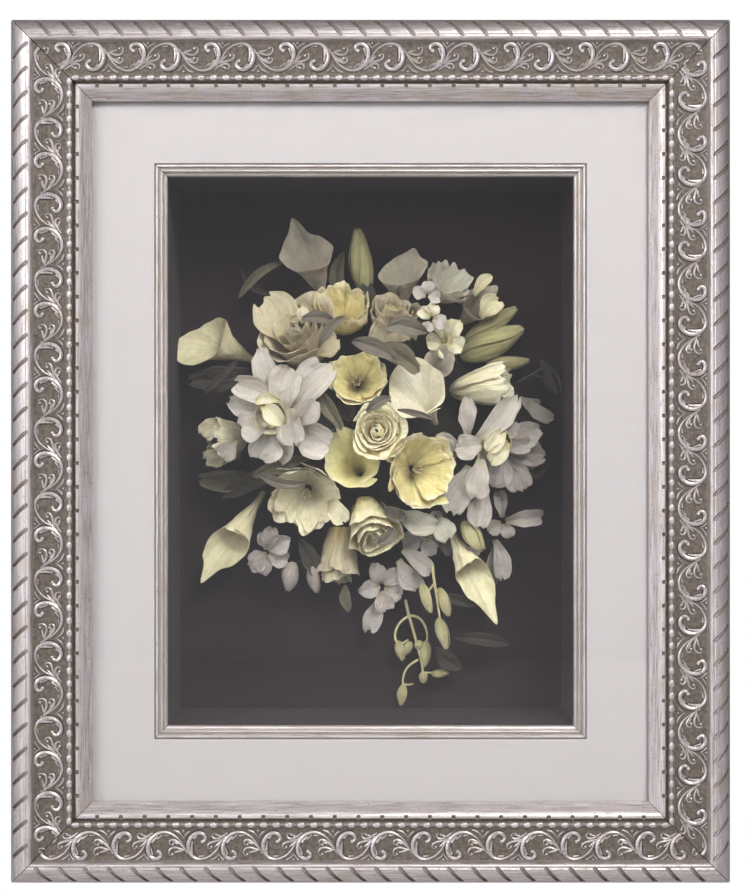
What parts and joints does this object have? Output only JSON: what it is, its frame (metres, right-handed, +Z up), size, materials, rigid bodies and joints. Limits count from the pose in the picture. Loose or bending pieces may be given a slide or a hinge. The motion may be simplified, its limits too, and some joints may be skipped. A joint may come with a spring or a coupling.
{
  "type": "preserved bouquet shadow box",
  "caption": "Dried wedding bouquet of callas, roses and lisianthus mounted in a dark lined box, behind glass and a white mat, in a carved silver-leaf frame that hangs on a wall.",
  "frame": {"origin": "centre of the back panel's rear face, the plane that lies on the wall", "axes": "+Z up, +X to the right as seen from the front, -Y forwards out of the glass, so the wall is on the +Y side"},
  "size_m": [0.508, 0.132, 0.6096],
  "materials": {
    "silver_leaf": "carved moulding with rubbed silver leaf and a grey-brown patina in its hollows",
    "glass": "clear picture glass",
    "white_mat": "smooth white mat board",
    "dark_suede": "dark aubergine suede cloth on board",
    "box_wood": "dark stained wood",
    "hardboard": "brown hardboard",
    "steel": "zinc-plated steel",
    "foam": "dark dry flower foam under moss",
    "white_petal": "preserved white petal, matt, slightly waxy",
    "cream_petal": "preserved cream petal with papery edges",
    "yellow_petal": "preserved petal gone butter yellow",
    "dry_leaf": "dried grey-olive leaf"
  },
  "bodies": {
    "root": {"back_panel": "hardboard", "box_side_bottom": "box_wood", "box_side_left": "box_wood", "box_side_right": "box_wood", "box_side_top": "box_wood", "bud_low": "yellow_petal", "bud_top": "yellow_petal", "buds_right": "yellow_petal", "calla_centre": "yellow_petal", "calla_left": "white_petal", "calla_low_left": "white_petal", "calla_low_right": "white_petal", "calla_right": "white_petal", "calla_side": "white_petal", "calla_small": "white_petal", "calla_top_left": "white_petal", "calla_top_right": "white_petal", "double_right": "yellow_petal", "fillet_bottom": "silver_leaf", "fillet_left": "silver_leaf", "fillet_right": "silver_leaf", "fillet_top": "silver_leaf", "floret_bottom": "cream_petal", "floret_low_left": "cream_petal", "floret_right": "cream_petal", "foam_mound": "foam", "gardenia": "white_petal", "glass": "glass", "keyhole_plate_left": "steel", "keyhole_plate_right": "steel", "leaf_left": "dry_leaf", "leaf_low_right": "dry_leaf", "leaf_top_left": "dry_leaf", "liner_bottom": "dark_suede", "liner_left": "dark_suede", "liner_right": "dark_suede", "liner_top": "dark_suede", "lisianthus_centre": "yellow_petal", "lisianthus_faded": "white_petal", "lisianthus_left": "cream_petal", "lisianthus_low_left": "cream_petal", "lisianthus_low_right": "yellow_petal", "lisianthus_right": "cream_petal", "lisianthus_top": "yellow_petal", "mat_board": "white_mat", "mount_board": "dark_suede", "orchid_low": "white_petal", "orchid_right": "white_petal", "orchid_small": "white_petal", "rail_bottom": "silver_leaf", "rail_left": "silver_leaf", "rail_right": "silver_leaf", "rail_top": "silver_leaf", "rose_bud_low": "white_petal", "rose_centre": "white_petal", "rose_low": "cream_petal", "rose_upper_left": "cream_petal", "rose_upper_right": "cream_petal", "spray_left": "cream_petal", "spray_right": "cream_petal"}
  },
  "joints": []
}
